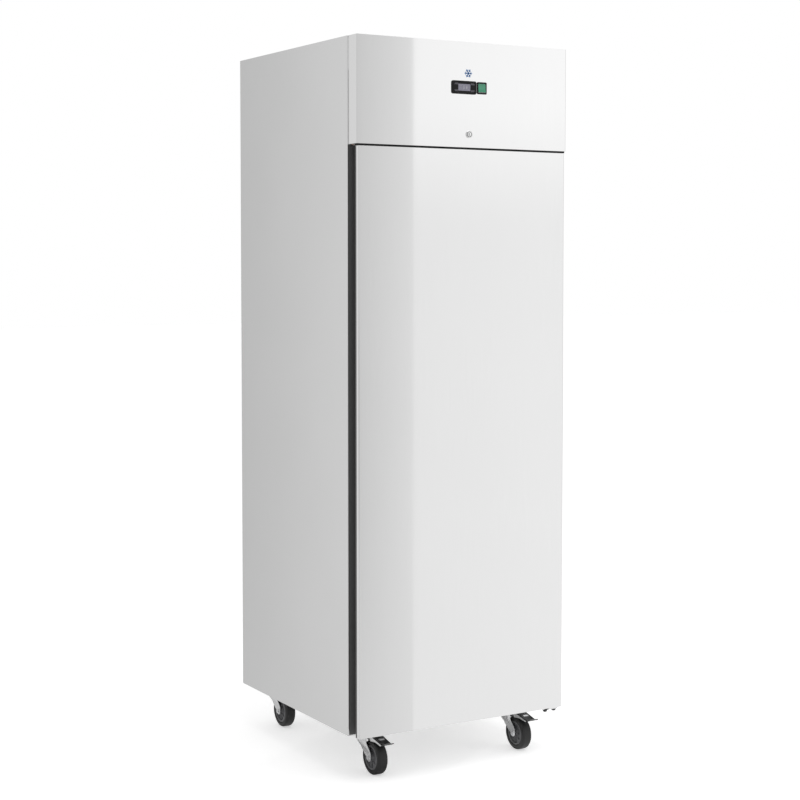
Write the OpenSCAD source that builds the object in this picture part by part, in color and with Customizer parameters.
// Upright reach in refrigerator: one solid door, top mounted unit, four castors.
// X runs to the right seen from the front, Y to the back, Z up from the floor.

/* [Overall] */
// Width over the side panels
overall_w = 684; // [660:1:720]
// Depth from the controls to the back panel
overall_d = 718; // [700:1:760]
// Height from the floor to the top of the header
overall_h = 2010; // [1950:5:2050]
// How far the controls stand proud of the header
control_proud = 4; // [3:0.5:5]
// Thickness of the stainless sheet
sheet = 1.2; // [1:0.1:1.5]

/* [Cabinet] */
// Height of the castors under the cabinet
caster_h = 128; // [124:1:132]
// Height of the floor of the unit compartment
deck_z = 1722; // [1700:1:1740]
// Thickness of the insulated side walls
wall_t = 61; // [55:1:65]
// Height of the storage floor
store_low = 190; // [180:5:220]
// Height of the storage ceiling
store_high = 1655; // [1600:5:1660]
// Radius of the corners of the storage space
store_r = 12; // [8:1:20]

/* [Door] */
// Distance from the cabinet front to the door face
door_reach = 46; // [44:1:48]
// Thickness of the door body
door_t = 37; // [34:1:38]
// Depth of the thin edge in front of the finger groove
grip_edge_t = 18; // [16:1:20]
// Width of the finger groove
groove_w = 32; // [28:1:36]
// Distance from the cabinet side to the door edge
door_inset = 8; // [6:1:10]
// Gap between the door and the header
door_gap = 5.5; // [4:0.5:7]
// Radius of the hinge pins
pin_r = 5; // [4:0.5:6]

/* [Castors] */
// Wheel radius
wheel_r = 47.5; // [40:0.5:49]
// Tyre width
tyre_w = 31; // [28:1:32]
// Distance between a swivel axis and its wheel axis
trail = 34; // [28:0.5:36]
// Distance from a cabinet side to the swivel axes
caster_side = 103; // [95:1:110]
// Distance from the cabinet front to the front swivel axes
caster_front = 68; // [56:1:72]
// Distance from the back panel to the rear swivel axes
caster_back = 41.5; // [41:0.5:70]

/* [Controls] */
// Width of the controller
controller_w = 80; // [76:1:84]
// Height of the controller
controller_h = 36; // [32:1:38]
// Sideways place of the lock
lock_x = 12.5; // [0:0.5:20]
// Height of the lock
lock_z = 1759; // [1755:1:1762]

/* [Hidden] */
$fn = 64;

// Cabinet planes
half_w = overall_w / 2;
back_y = overall_d / 2;
face_y = -back_y + control_proud;
front_y = face_y + door_reach;
flange = 14;
frame_t = 3.6;
inner_half = half_w - sheet;

// Storage space
store_half = half_w - wall_t;
store_back = back_y - wall_t;

// Header
header_half = half_w - 3;
header_low = deck_z + 1;
header_back = front_y - 0.5;

// Door
door_half = half_w - door_inset;
door_low = caster_h + 1;
door_high = header_low - door_gap;
door_back = face_y + door_t;
groove_x = -door_half + groove_w;
groove_y = face_y + grip_edge_t;
grip_t = 2.4;
gasket_w = 14;
gasket_out = store_half + 16;
gasket_gap = 0.3;
plug_side = 11;
plug_reach = 20;

// Hinge line
hinge_x = half_w - 26;
hinge_y = front_y - 31;
pin_gap = 0.05;
bush_r = 8;
bush_flange_r = 10;
bush_len = 24;
bracket_t = 4;
bracket_left = 44;
bracket_back = 42;
bolt_r = 6.5;
bolt_h = 5;

// Lock
lock_r = 10.5;
lock_plug_r = 6.5;
cam_len = 53;
cam_w = 14;
cam_t = 2.5;
cam_y = face_y + 24;
cam_slot_right = 44;
cam_slot_left = 11;

// Controller and rocker
controller_x = -4.3;
controller_z = 1886;
controller_body_w = 71;
controller_body_h = 29;
controller_deep = 60;
lens_w = 38;
lens_h = 17;
button_w = 13;
button_h = 5.2;
button_side = 26.5;
button_up = 9.2;
button_fit = 0.4;
rocker_x = 54;
rocker_z = 1886.5;
rocker_bezel_w = 31;
rocker_bezel_h = 33;
rocker_w = 19;
rocker_h = 22;
rocker_fit = 0.6;
rocker_pin_r = 2;
rocker_tip = 7;

// Unit compartment
coil_w = 250;
coil_h = 190;
coil_t = 66;
coil_x = -165;
coil_y = -190;
coil_z = deck_z + 25;
fan_r = 86;
fan_hub_r = 22;
fan_blades = 5;
fan_z = coil_z + coil_h / 2;
comp_x = 150;
comp_y = 130;
comp_r = 82;
comp_h = 190;
box_w = 130;
box_d = 100;
box_h = 90;
box_x = 235;
box_y = -150;

// Evaporator
evap_half = 225;
evap_front = -60;
evap_low = 1510;
evap_fan_r = 70;
evap_fan_y = evap_front + 22;
evap_fan_z = (evap_low + store_high) / 2;
wall_thin = 1.5;

// Shelves
shelf_levels = [475, 815, 1155];
shelf_half = store_half - 17;
shelf_front = -250;
shelf_back = 240;
rim_r = 4;
wire_r = 1.8;
wire_count = 22;
pilaster_ys = [-205, 195];
pilaster_t = 11;
clip_len = 20;

// Castors
plate_t = 2.5;
plate_x = 60;
plate_y = 80;
bolt_dx = 20;
bolt_dy = 30;
race_r = 24;
race_h = 6;
king_r = 5;
crown_low = 111.7;
crown_r = 33;
leg_in = 17.6;
leg_t = 2.6;
axle_r = 4;
hub_boss_r = 11;
hub_r = 34;
hub_w = 26;
pedal_w = 30;
pedal_pivot_y = -24;
pedal_pivot_z = 103;
pedal_rod_r = 2.5;
front_axis_y = front_y + caster_front;
rear_axis_y = back_y - caster_back;
axis_x = half_w - caster_side;
caster_spots = [
    [-axis_x, front_axis_y], [axis_x, front_axis_y],
    [-axis_x, rear_axis_y], [axis_x, rear_axis_y]
];

bead = 1.15;
stainless = "silver";
zinc = "gainsboro";

// A box given by its lowest and highest corners.
module box(low, high) {
    translate(low) cube(high - low);
}

// A cylinder along Y, starting at a point.
module along_y(at, r, len, sides = 64) {
    translate(at) rotate([-90, 0, 0]) cylinder(r = r, h = len, $fn = sides);
}

// A cylinder along X, centred on a point.
module along_x(at, r, len, sides = 64) {
    translate(at) rotate([0, 90, 0]) cylinder(r = r, h = len, center = true, $fn = sides);
}

// A straight round rod between two points.
module rod(from, to, r) {
    d = to - from;
    length = norm(d);
    translate(from)
        rotate([0, acos(d[2] / length), atan2(d[1], d[0])])
            cylinder(r = r, h = length, $fn = 24);
}

// A bent tube through a list of points, with a soldered bead at each corner.
module pipe(points, r) {
    for (i = [0 : len(points) - 2]) rod(points[i], points[i + 1], r);
    for (p = points) translate(p) sphere(r = r * bead, $fn = 24);
}

// A rectangle with round corners in the XZ plane, pushed from y0 to y1.
module rounded_slab(half_x, z0, z1, r, y0, y1) {
    translate([0, y1, 0]) rotate([90, 0, 0]) linear_extrude(y1 - y0) {
        difference() {
            translate([-half_x, z0]) square([2 * half_x, z1 - z0]);
            for (sx = [-1, 1], top = [0, 1])
                translate([sx * (half_x - r / 2), top ? z1 - r / 2 : z0 + r / 2])
                    square(r + 0.001, center = true);
        }
        for (sx = [-1, 1], z = [z0 + r, z1 - r])
            translate([sx * (half_x - r), z]) circle(r = r);
    }
}

// Outer case

module side_panel(side) {
    flip = side < 0 ? 1 : 0;
    color(stainless) mirror([flip, 0, 0]) {
        box([inner_half, front_y, caster_h], [half_w, back_y - sheet, overall_h]);
        box([half_w - flange, back_y - 2 * sheet, caster_h], [inner_half, back_y - sheet, overall_h]);
        box([inner_half - 5, front_y, deck_z], [inner_half, front_y + sheet, overall_h]);
        box([inner_half - flange, front_y + sheet, overall_h - sheet], [inner_half, back_y - 2 * sheet, overall_h]);
    }
}

module side_panel_left() { side_panel(-1); }
module side_panel_right() { side_panel(1); }

module back_panel() {
    color(stainless) box([-half_w, back_y - sheet, caster_h], [half_w, back_y, deck_z]);
}

module base_panel() {
    color(stainless) {
        box([-inner_half, front_y, caster_h], [inner_half, back_y - 2 * sheet, caster_h + sheet]);
        box([-inner_half, front_y, caster_h + sheet], [inner_half, front_y + sheet, caster_h + 20]);
    }
}

module top_deck() {
    color(stainless)
        box([-inner_half, front_y + sheet, deck_z - sheet], [inner_half, back_y - 2 * sheet, deck_z]);
}

module cabinet_foam() {
    color("wheat") difference() {
        box(
            [-inner_half, front_y + frame_t, caster_h + sheet],
            [inner_half, back_y - 2 * sheet, deck_z - sheet]
        );
        rounded_slab(
            store_half + sheet, store_low - sheet, store_high + sheet, store_r + sheet,
            front_y, store_back + sheet
        );
    }
}

module inner_liner() {
    color("lightgray") difference() {
        rounded_slab(
            store_half + sheet, store_low - sheet, store_high + sheet, store_r + sheet,
            front_y, store_back + sheet
        );
        rounded_slab(store_half, store_low, store_high, store_r, front_y - 1, store_back);
    }
}

module face_frame() {
    frame_low = caster_h + 20;
    frame_high = deck_z - sheet;
    color("dimgray") difference() {
        union() {
            box([-inner_half, front_y, frame_low], [inner_half, front_y + frame_t, frame_high]);
            box([-inner_half, front_y + sheet, caster_h + sheet], [inner_half, front_y + frame_t, frame_low]);
        }
        rounded_slab(
            store_half + sheet, store_low - sheet, store_high + sheet, store_r + sheet,
            front_y - 1, front_y + frame_t + 1
        );
    }
}

module rear_grille() {
    slot_rows = 12;
    slot_cols = 3;
    pitch = 20;
    slot_w = 170;
    slot_h = 8;
    color(stainless) difference() {
        box([-half_w, back_y - sheet, deck_z], [half_w, back_y, overall_h]);
        for (row = [0 : slot_rows - 1], col = [-1 : slot_cols - 2])
            translate([col * (slot_w + 20) - slot_w / 2, back_y - 2 * sheet, deck_z + 30 + row * pitch])
                cube([slot_w, 3 * sheet, slot_h]);
    }
}

// Header with its controls

module header_panel() {
    color(stainless) difference() {
        box([-header_half, face_y, header_low], [header_half, header_back, overall_h]);
        box(
            [-header_half + sheet, face_y + sheet, header_low + sheet],
            [header_half - sheet, header_back + 1, overall_h - sheet]
        );
        along_y([lock_x, face_y - 1, lock_z], lock_r - 2, sheet + 2);
        translate([
            controller_x - controller_body_w / 2 - 0.2, face_y - 1,
            controller_z - controller_body_h / 2 - 0.2
        ]) cube([controller_body_w + 0.4, sheet + 2, controller_body_h + 0.4]);
        translate([
            rocker_x - rocker_bezel_w / 2 + 2, face_y - 1, rocker_z - rocker_bezel_h / 2 + 2
        ]) cube([rocker_bezel_w - 4, sheet + 2, rocker_bezel_h - 4]);
        translate([hinge_x, hinge_y, header_low - 1]) cylinder(r = pin_r + 1.5, h = sheet + 2);
        box(
            [lock_x - cam_slot_left, cam_y - 5, header_low - 1],
            [lock_x + cam_slot_right + 8, cam_y + 5, header_low + sheet + 1]
        );
    }
}

module button_hole(extra) {
    for (sx = [-1, 1], sz = [-1, 1])
        translate([
            controller_x + sx * button_side - button_w / 2 - extra, face_y - control_proud - 1,
            controller_z + sz * button_up - button_h / 2 - extra
        ]) cube([button_w + 2 * extra, control_proud + 7, button_h + 2 * extra]);
}

module controller_housing() {
    color([0.08, 0.08, 0.09]) difference() {
        union() {
            translate([controller_x, 0, 0]) rounded_slab(
                controller_w / 2, controller_z - controller_h / 2, controller_z + controller_h / 2,
                5, face_y - control_proud + 0.8, face_y
            );
            box(
                [controller_x - controller_body_w / 2, face_y, controller_z - controller_body_h / 2],
                [controller_x + controller_body_w / 2, face_y + controller_deep,
                    controller_z + controller_body_h / 2]
            );
        }
        button_hole(button_fit);
        box(
            [controller_x - lens_w / 2, face_y - control_proud, controller_z - lens_h / 2],
            [controller_x + lens_w / 2, face_y - control_proud + 2.5, controller_z + lens_h / 2]
        );
    }
}

module controller_lens() {
    color([0.32, 0.3, 0.4]) box(
        [controller_x - lens_w / 2, face_y - control_proud + 1.3, controller_z - lens_h / 2],
        [controller_x + lens_w / 2, face_y - control_proud + 2.5, controller_z + lens_h / 2]
    );
}

module button(sx, sz) {
    color([0.16, 0.16, 0.17]) translate([
        controller_x + sx * button_side - button_w / 2, face_y - control_proud,
        controller_z + sz * button_up - button_h / 2
    ]) cube([button_w, 5.5, button_h]);
}

module button_1() { button(-1, 1); }
module button_2() { button(-1, -1); }
module button_3() { button(1, 1); }
module button_4() { button(1, -1); }

module rocker_frame() {
    well_deep = 24;
    color([0.07, 0.07, 0.07]) difference() {
        union() {
            translate([rocker_x, 0, 0]) rounded_slab(
                rocker_bezel_w / 2, rocker_z - rocker_bezel_h / 2, rocker_z + rocker_bezel_h / 2,
                2.5, face_y - 2, face_y
            );
            translate([rocker_x - rocker_bezel_w / 2 + 2, face_y, rocker_z - rocker_bezel_h / 2 + 2])
                cube([rocker_bezel_w - 4, well_deep, rocker_bezel_h - 4]);
        }
        translate([
            rocker_x - rocker_w / 2 - rocker_fit, face_y - 3, rocker_z - rocker_h / 2 - 1.4
        ]) cube([rocker_w + 2 * rocker_fit, 18, rocker_h + 2.8]);
        along_x([rocker_x, face_y + 4, rocker_z], rocker_pin_r + 0.05, rocker_w + 5);
    }
}

module rocker() {
    half = rocker_h / 2;
    rise = half * tan(rocker_tip);
    color("seagreen") {
        along_x([rocker_x, face_y + 4, rocker_z], rocker_pin_r, rocker_w + 4.8);
        translate([rocker_x - rocker_w / 2, face_y + 4, rocker_z])
            rotate([-rocker_tip, 0, 0])
                rotate([90, 0, 90]) linear_extrude(rocker_w)
                    polygon([
                        [-5 - rise, -half + 1], [-5.2 - rise, half - 1], [-4 - rise, half],
                        [2, half - 2], [6, 4], [6, -4], [2, 2 - half], [-4 - rise, -half]
                    ]);
    }
}

module lock_barrel() {
    color(zinc) difference() {
        union() {
            along_y([lock_x, face_y - 2, lock_z], lock_r, 2);
            along_y([lock_x, face_y, lock_z], lock_r - 2.1, 20);
            along_y([lock_x, face_y + sheet, lock_z], lock_r + 2, 3, 6);
        }
        along_y([lock_x, face_y - 3, lock_z], lock_plug_r + 0.05, 40);
    }
}

module lock_plug() {
    color(zinc) {
        difference() {
            along_y([lock_x, face_y - 2.4, lock_z], lock_plug_r, cam_y - face_y + 2.4);
            translate([lock_x - 1, face_y - 3, lock_z - 4]) cube([2, 6, 8]);
        }
        translate([lock_x, cam_y - cam_t / 2, lock_z - cam_w / 2]) cube([cam_len - cam_w / 2, cam_t, cam_w]);
        along_y([lock_x + cam_len - cam_w / 2, cam_y - cam_t / 2, lock_z], cam_w / 2, cam_t);
        along_y([lock_x, cam_y - cam_t / 2, lock_z], cam_w / 2 + 1, cam_t + 3);
    }
}

// Hinges

module hinge_pin(z0, z1) {
    translate([hinge_x, hinge_y, z0]) cylinder(r = pin_r, h = z1 - z0);
}

module top_hinge_bracket() {
    low = header_low + sheet;
    left = hinge_x - bracket_left;
    color(zinc) {
        box([left, hinge_y - 9, low], [hinge_x + 12, front_y + bracket_back, low + bracket_t]);
        box([left, front_y + 3, deck_z], [hinge_x + 12, front_y + bracket_back, low]);
        hinge_pin(door_high - bush_len + 3, low + bracket_t);
    }
}

module bottom_hinge_bracket() {
    low = caster_h - bracket_t;
    left = hinge_x - bracket_left;
    color(zinc) difference() {
        union() {
            box([left, hinge_y - 10, low], [hinge_x + 12, front_y + bracket_back, caster_h]);
            hinge_pin(low, door_low + bush_len - 3);
        }
        box([left + 8, hinge_y - 11, low - 1], [left + 20, hinge_y + 4, caster_h + 1]);
        box([left + 6, front_y - 18, low - 1], [left + 34, front_y - 10, caster_h + 1]);
    }
}

module hex_head(at, r, h) {
    translate(at) cylinder(r = r, h = h, $fn = 6);
}

module cabinet_fasteners() {
    low = caster_h - bracket_t;
    top = header_low + sheet + bracket_t;
    bolt_y = front_y + bracket_back - 14;
    color([0.25, 0.25, 0.27]) {
        for (x = [hinge_x - 32, hinge_x]) {
            hex_head([x, front_y + 12, low - bolt_h], bolt_r, bolt_h);
            hex_head([x, bolt_y, top], bolt_r, bolt_h);
        }
        translate([hinge_x, hinge_y, low - bolt_h]) cylinder(r = bolt_r, h = bolt_h);
        for (sx = [-1, 1], z = [deck_z + 20, overall_h - 20])
            along_y([sx * (half_w - 7), back_y - 2 * sheet - 3, z], 3.5, 3);
    }
}

// Door

module door_outline(inset, back) {
    polygon([
        [-door_half + inset, face_y + inset], [door_half - inset, face_y + inset],
        [door_half - inset, back], [groove_x, back],
        [groove_x, groove_y - inset], [-door_half + inset, groove_y - inset]
    ]);
}

module bush_space(r) {
    translate([hinge_x, hinge_y, door_low - 1]) cylinder(r = r, h = bush_len + 1);
    translate([hinge_x, hinge_y, door_high - bush_len]) cylinder(r = r, h = bush_len + 1);
}

module cam_space() {
    box(
        [lock_x - cam_slot_left, cam_y - 5, door_high - 14],
        [lock_x + cam_slot_right, cam_y + 5, door_high + 1]
    );
}

module door_skin() {
    color("whitesmoke") difference() {
        translate([0, 0, door_low]) linear_extrude(door_high - door_low)
            door_outline(0, door_back);
        translate([0, 0, door_low + sheet]) linear_extrude(door_high - door_low - 2 * sheet)
            door_outline(sheet, door_back + 1);
        box(
            [-door_half + 10, groove_y - 2 * sheet, door_low + sheet],
            [groove_x + 1, groove_y + 1, door_high - sheet]
        );
        bush_space(bush_r);
        cam_space();
    }
}

module door_grip() {
    low = door_low + sheet;
    high = door_high - sheet;
    color([0.2, 0.2, 0.21]) {
        box([-door_half + 10, groove_y - sheet, low], [groove_x, groove_y, high]);
        box([groove_x, groove_y - sheet, low], [groove_x + grip_t, door_back, high]);
    }
}

module door_foam() {
    color("wheat") difference() {
        translate([0, 0, door_low + sheet]) linear_extrude(door_high - door_low - 2 * sheet)
            polygon([
                [-door_half + sheet, face_y + sheet], [door_half - sheet, face_y + sheet],
                [door_half - sheet, door_back - sheet], [groove_x + grip_t, door_back - sheet],
                [groove_x + grip_t, groove_y - sheet], [-door_half + sheet, groove_y - sheet]
            ]);
        bush_space(bush_flange_r);
        cam_space();
    }
}

module door_liner() {
    plug_half = store_half - plug_side;
    color("lightgray") {
        box(
            [groove_x + grip_t, door_back - sheet, door_low + sheet],
            [door_half - sheet, door_back, door_high - sheet]
        );
        rounded_slab(
            plug_half, store_low + plug_side, store_high - plug_side, 10,
            door_back, door_back + plug_reach
        );
    }
}

module door_gasket() {
    gasket_high = store_high + 16;
    gasket_low = store_low - 16;
    color([0.25, 0.25, 0.26]) difference() {
        rounded_slab(gasket_out, gasket_low, gasket_high, 6, door_back, front_y - gasket_gap);
        rounded_slab(
            gasket_out - gasket_w, gasket_low + gasket_w, gasket_high - gasket_w, 4,
            door_back - 1, front_y + 1
        );
    }
}

module door_bushes() {
    color("ivory") for (end = [0, 1])
        translate([hinge_x, hinge_y, end ? door_high : door_low])
            mirror([0, 0, end]) difference() {
                union() {
                    cylinder(r = bush_r, h = bush_len);
                    translate([0, 0, sheet]) cylinder(r = bush_flange_r, h = 2);
                }
                translate([0, 0, -1]) cylinder(r = pin_r + pin_gap, h = bush_len + 2);
            }
}

// Refrigeration unit

module fan_blade(r_in, r_out, angle) {
    rotate([0, angle, 0]) translate([(r_in + r_out) / 2 - 1, 0, 0])
        rotate([28, 0, 0]) cube([r_out - r_in + 2, 1.6, r_out * 0.42], center = true);
}

module fan(at, r, hub, depth) {
    translate(at) {
        intersection() {
            union() for (i = [0 : fan_blades - 1]) fan_blade(hub, r * 1.2, i * 360 / fan_blades);
            along_y([0, -depth / 2, 0], r, depth);
        }
        difference() {
            along_y([0, -depth / 2, 0], hub, depth);
            along_y([0, -depth / 2 + 4, 0], 3.05, depth);
        }
    }
}

module condenser_coil() {
    fin_gap = 10;
    fins = floor(coil_w / fin_gap) - 1;
    color("darkgray") difference() {
        box(
            [coil_x - coil_w / 2, coil_y, coil_z - 25],
            [coil_x + coil_w / 2, coil_y + coil_t, coil_z + coil_h]
        );
        for (i = [0 : fins])
            translate([coil_x - coil_w / 2 + 5 + i * fin_gap, coil_y - 1, coil_z])
                cube([5, coil_t / 2 - 4, coil_h - 8]);
    }
}

module condenser_shroud() {
    y0 = coil_y + coil_t;
    motor_y = y0 + 34;
    color([0.12, 0.12, 0.12]) {
        difference() {
            box(
                [coil_x - coil_w / 2, y0, coil_z],
                [coil_x + coil_w / 2, y0 + 28, coil_z + coil_h]
            );
            along_y([coil_x, y0 - 1, fan_z], fan_r + 3, 30);
        }
        along_y([coil_x, motor_y, fan_z], 32, 50);
        along_y([coil_x, y0 + 12, fan_z], 3, 24);
        for (a = [45 : 90 : 315])
            rod([coil_x, motor_y + 2, fan_z],
                [coil_x + 95 * cos(a), y0 + 27, fan_z + 95 * sin(a)], 3);
    }
}

module condenser_fan() {
    color("gray") fan([coil_x, coil_y + coil_t + 13, fan_z], fan_r, fan_hub_r, 18);
}

module compressor() {
    color([0.1, 0.1, 0.1]) {
        translate([comp_x, comp_y, deck_z + 15]) rotate_extrude() polygon([
            [0, 0], [comp_r - 18, 0], [comp_r, 18], [comp_r, comp_h * 0.45],
            [comp_r + 4, comp_h * 0.45], [comp_r + 4, comp_h * 0.5], [comp_r, comp_h * 0.5],
            [comp_r, comp_h - 34], [comp_r - 14, comp_h - 12], [comp_r - 45, comp_h], [0, comp_h]
        ]);
        difference() {
            box(
                [comp_x - 95, comp_y - 70, deck_z + 12],
                [comp_x + 95, comp_y + 70, deck_z + 16]
            );
            for (sx = [-1, 1], sy = [-1, 1])
                translate([comp_x + sx * 83, comp_y + sy * 58, deck_z]) cylinder(r = 6, h = 20);
        }
        for (sx = [-1, 1], sy = [-1, 1])
            translate([comp_x + sx * 83, comp_y + sy * 58, deck_z]) cylinder(r = 5.5, h = 22);
        box([comp_x - 30, comp_y - comp_r - 24, deck_z + 60], [comp_x + 30, comp_y - comp_r + 12, deck_z + 120]);
    }
}

module refrigerant_lines() {
    r = 4;
    side_x = coil_x + coil_w / 2 - 20;
    color([0.72, 0.45, 0.3]) {
        pipe([
            [comp_x - 40, comp_y, deck_z + comp_h - 30], [comp_x - 120, comp_y, deck_z + comp_h],
            [comp_x - 120, coil_y + coil_t + 140, deck_z + comp_h],
            [side_x + 28, coil_y + coil_t + 60, coil_z + coil_h - 20],
            [side_x + 28, coil_y + coil_t / 2, coil_z + coil_h - 20],
            [side_x + 12, coil_y + coil_t / 2, coil_z + coil_h - 20]
        ], r);
        pipe([
            [side_x + 12, coil_y + coil_t / 2, coil_z + 12], [side_x + 34, coil_y + coil_t / 2, coil_z + 12],
            [side_x + 34, 20, coil_z + 12], [side_x + 10, 70, coil_z + 12],
            [side_x - 40, 150, coil_z + 12], [side_x - 40, 150, deck_z + r]
        ], r);
        rod([side_x + 34, -70, coil_z + 12], [side_x + 34, 0, coil_z + 12], 11);
        pipe([
            [comp_x - 60, comp_y + 62, deck_z + 90], [comp_x - 110, comp_y + 90, deck_z + 90],
            [comp_x - 150, comp_y + 90, deck_z + 40], [comp_x - 150, comp_y + 90, deck_z + r + 2]
        ], r + 2);
    }
}

module electrical_box() {
    gland_z = deck_z + 60;
    gland_x = 290;
    color([0.75, 0.75, 0.76]) {
        box([box_x - box_w / 2, box_y, deck_z], [box_x + box_w / 2, box_y + box_d, deck_z + box_h]);
        box([box_x - box_w / 2 - 2, box_y - 2, deck_z + box_h],
            [box_x + box_w / 2 + 2, box_y + box_d + 2, deck_z + box_h + 4]);
        difference() {
            along_y([gland_x, box_y + box_d, gland_z], 11, 24, 6);
            along_y([gland_x, box_y + box_d + 4, gland_z], 5, 30);
        }
    }
}

module evaporator_coil() {
    fin_gap = 12;
    half = evap_half - 25;
    color("darkgray") difference() {
        box([-half, 60, evap_low + 20], [half, 190, store_high - 12]);
        for (i = [0 : floor(2 * half / fin_gap) - 2])
            translate([-half + 6 + i * fin_gap, 59, evap_low + 19])
                cube([6, 132, 50]);
    }
}

module evaporator_cover() {
    color("lightgray") {
        difference() {
            box([-evap_half, evap_front, evap_low], [evap_half, store_back, store_high]);
            box(
                [-evap_half + wall_thin, evap_front + wall_thin, evap_low + wall_thin],
                [evap_half - wall_thin, store_back + 1, store_high + 1]
            );
            along_y([0, evap_front - 1, evap_fan_z], evap_fan_r + 3, 4);
            for (i = [-7 : 7])
                translate([i * 26 - 9, 225, evap_low - 1]) cube([18, 50, 4]);
        }
        along_y([0, evap_fan_y + 14, evap_fan_z], 24, 30);
        along_y([0, evap_fan_y - 2, evap_fan_z], 3, 18);
        box([-26, evap_fan_y + 20, evap_fan_z], [26, evap_fan_y + 36, store_high]);
    }
}

module evaporator_fan() {
    color("gray") fan([0, evap_fan_y, evap_fan_z], evap_fan_r, 18, 16);
}

// Shelving

module shelf_pilasters() {
    low = store_low + 40;
    high = evap_low - 30;
    color(stainless) for (sx = [-1, 1], y = pilaster_ys)
        difference() {
            translate([sx * (store_half - pilaster_t / 2), y, (low + high) / 2])
                cube([pilaster_t, 22, high - low], center = true);
            for (z = [low + 30 : 85 : high - 20])
                translate([sx * (store_half - pilaster_t), y, z]) cube([6, 8, 14], center = true);
        }
}

module shelf_clips() {
    color(stainless) for (level = shelf_levels, sx = [-1, 1], y = pilaster_ys)
        translate([sx * (store_half - pilaster_t - clip_len / 2), y, level - rim_r * bead - 1.7])
            cube([clip_len, 18, 3], center = true);
}

module wire_shelf(level) {
    color(zinc) {
        for (sx = [-1, 1])
            rod([sx * shelf_half, shelf_front, level], [sx * shelf_half, shelf_back, level], rim_r);
        for (y = [shelf_front, shelf_back])
            pipe([[-shelf_half, y, level], [shelf_half, y, level]], rim_r);
        for (i = [1 : wire_count])
            let (x = -shelf_half + i * 2 * shelf_half / (wire_count + 1))
                rod([x, shelf_front, level], [x, shelf_back, level], wire_r);
    }
}

module shelf_bottom() { wire_shelf(shelf_levels[0]); }
module shelf_middle() { wire_shelf(shelf_levels[1]); }
module shelf_top() { wire_shelf(shelf_levels[2]); }

// Castors

module caster_plates() {
    top = caster_h;
    color(zinc) for (spot = caster_spots)
        translate([spot[0], spot[1], 0]) {
            difference() {
                translate([-plate_x / 2, -plate_y / 2, top - plate_t]) cube([plate_x, plate_y, plate_t]);
                for (sx = [-1, 1], sy = [-1, 1])
                    translate([sx * bolt_dx, sy * bolt_dy, top - plate_t - 1]) cylinder(r = 4.3, h = plate_t + 2);
            }
            translate([0, 0, top - plate_t - race_h]) cylinder(r = race_r, h = race_h);
            translate([0, 0, crown_low - 3]) cylinder(r = king_r, h = 12);
            translate([0, 0, crown_low - 5]) cylinder(r = 8, h = 4.6);
        }
}

module caster_bolts() {
    color(zinc) for (spot = caster_spots, sx = [-1, 1], sy = [-1, 1])
        translate([spot[0] + sx * bolt_dx, spot[1] + sy * bolt_dy, 0]) {
            hex_head([0, 0, caster_h - plate_t - 4.5], 6, 4.5);
            translate([0, 0, caster_h - plate_t]) cylinder(r = 4, h = plate_t);
        }
}

module fork_leg() {
    linear_extrude(leg_t) polygon([
        [-crown_r, crown_low + 3], [crown_r - 4, crown_low + 3], [crown_r - 6, crown_low - 6],
        [-14, wheel_r + 14], [-trail + 11, wheel_r - 4], [-trail + 4, wheel_r - 11],
        [-trail - 6, wheel_r - 10], [-trail - 11, wheel_r - 2], [-crown_r, wheel_r + 36]
    ]);
}

module caster_fork(i) {
    spot = caster_spots[i];
    axle_len = 2 * (leg_in + leg_t);
    color(zinc) translate([spot[0], spot[1], 0]) {
        difference() {
            union() {
                translate([0, 0, crown_low]) cylinder(r = crown_r, h = 3);
                translate([0, 0, crown_low + 3]) cylinder(r = crown_r - 3, h = 3.5);
            }
            translate([0, 0, crown_low - 1]) cylinder(r = king_r + 0.05, h = 10);
        }
        for (sx = [-1, 1])
            translate([sx > 0 ? leg_in : -leg_in - leg_t, 0, 0])
                rotate([90, 0, 90]) fork_leg();
        along_x([0, -trail, wheel_r], axle_r, axle_len + 12);
        for (sx = [-1, 1])
            translate([sx * (leg_in + leg_t + 2.5), -trail, wheel_r])
                rotate([0, 90, 0]) cylinder(r = 7, h = 5, center = true, $fn = 6);
        if (i < 2) along_x([0, pedal_pivot_y, pedal_pivot_z], pedal_rod_r, axle_len + 3);
    }
}

module caster_fork_fl() { caster_fork(0); }
module caster_fork_fr() { caster_fork(1); }
module caster_fork_rl() { caster_fork(2); }
module caster_fork_rr() { caster_fork(3); }

module wheel_place(i) {
    spot = caster_spots[i];
    translate([spot[0], spot[1] - trail, wheel_r]) rotate([0, 90, 0]) children();
}

module wheel_hub(i) {
    boss = leg_in - 0.4;
    half = hub_w / 2;
    color("dimgray") wheel_place(i) rotate_extrude() polygon([
        [axle_r + 0.05, -boss], [hub_boss_r, -boss], [hub_boss_r, -5], [hub_r - 7, -4],
        [hub_r - 4, -half], [hub_r, -half], [hub_r, half], [hub_r - 4, half],
        [hub_r - 7, 4], [hub_boss_r, 5], [hub_boss_r, boss], [axle_r + 0.05, boss]
    ]);
}

module wheel_hub_fl() { wheel_hub(0); }
module wheel_hub_fr() { wheel_hub(1); }
module wheel_hub_rl() { wheel_hub(2); }
module wheel_hub_rr() { wheel_hub(3); }

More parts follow.
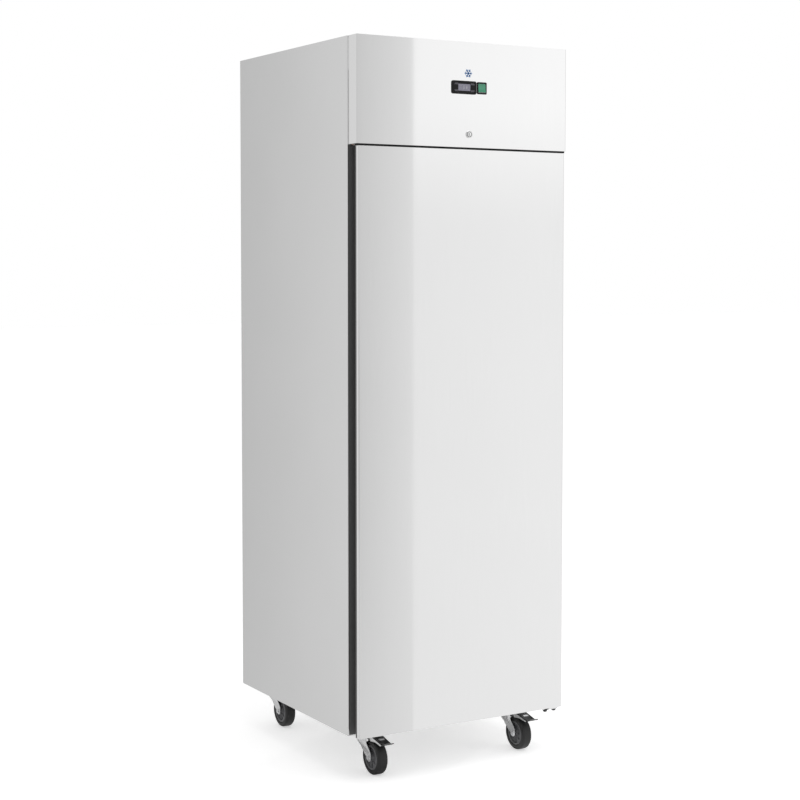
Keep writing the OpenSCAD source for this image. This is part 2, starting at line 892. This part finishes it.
module tyre(i) {
    half = tyre_w / 2;
    color([0.06, 0.06, 0.06]) wheel_place(i) rotate_extrude() polygon([
        [hub_r, -half + 2], [hub_r + 3, -half], [wheel_r - 6, -half], [wheel_r - 2, -half + 2],
        [wheel_r, -half + 7], [wheel_r, half - 7], [wheel_r - 2, half - 2], [wheel_r - 6, half],
        [hub_r + 3, half], [hub_r, half - 2]
    ]);
}

module tyre_fl() { tyre(0); }
module tyre_fr() { tyre(1); }
module tyre_rl() { tyre(2); }
module tyre_rr() { tyre(3); }

module brake_pedal(i) {
    spot = caster_spots[i];
    tip_y = -112;
    eye_r = 5;
    plate_half = pedal_w / 2;
    color([0.13, 0.13, 0.14]) translate([spot[0], spot[1], 0]) difference() {
        union() {
            translate([-plate_half, 0, 0]) rotate([90, 0, 90]) linear_extrude(pedal_w) polygon([
                [pedal_pivot_y, 104.5], [pedal_pivot_y - 10, 110.5], [tip_y + 14, 106.5],
                [tip_y, 109], [tip_y, 106.5], [tip_y + 14, 103], [pedal_pivot_y - 24, 104],
                [pedal_pivot_y, 101]
            ]);
            along_x([0, pedal_pivot_y, pedal_pivot_z], eye_r, pedal_w);
        }
        along_x([0, pedal_pivot_y, pedal_pivot_z], pedal_rod_r + 0.05, pedal_w + 2);
    }
}

module brake_pedal_fl() { brake_pedal(0); }
module brake_pedal_fr() { brake_pedal(1); }

side_panel_left();
side_panel_right();
back_panel();
base_panel();
top_deck();
cabinet_foam();
inner_liner();
face_frame();
header_panel();
rear_grille();
controller_housing();
controller_lens();
rocker_frame();
lock_barrel();
top_hinge_bracket();
bottom_hinge_bracket();
cabinet_fasteners();
caster_plates();
caster_bolts();
compressor();
condenser_coil();
condenser_shroud();
refrigerant_lines();
electrical_box();
evaporator_coil();
evaporator_cover();
shelf_pilasters();
shelf_clips();
door_skin();
door_liner();
door_foam();
door_grip();
door_gasket();
door_bushes();
lock_plug();
rocker();
button_1();
button_2();
button_3();
button_4();
condenser_fan();
evaporator_fan();
shelf_top();
shelf_middle();
shelf_bottom();
caster_fork_fl();
caster_fork_fr();
caster_fork_rl();
caster_fork_rr();
wheel_hub_fl();
wheel_hub_fr();
wheel_hub_rl();
wheel_hub_rr();
tyre_fl();
tyre_fr();
tyre_rl();
tyre_rr();
brake_pedal_fl();
brake_pedal_fr();
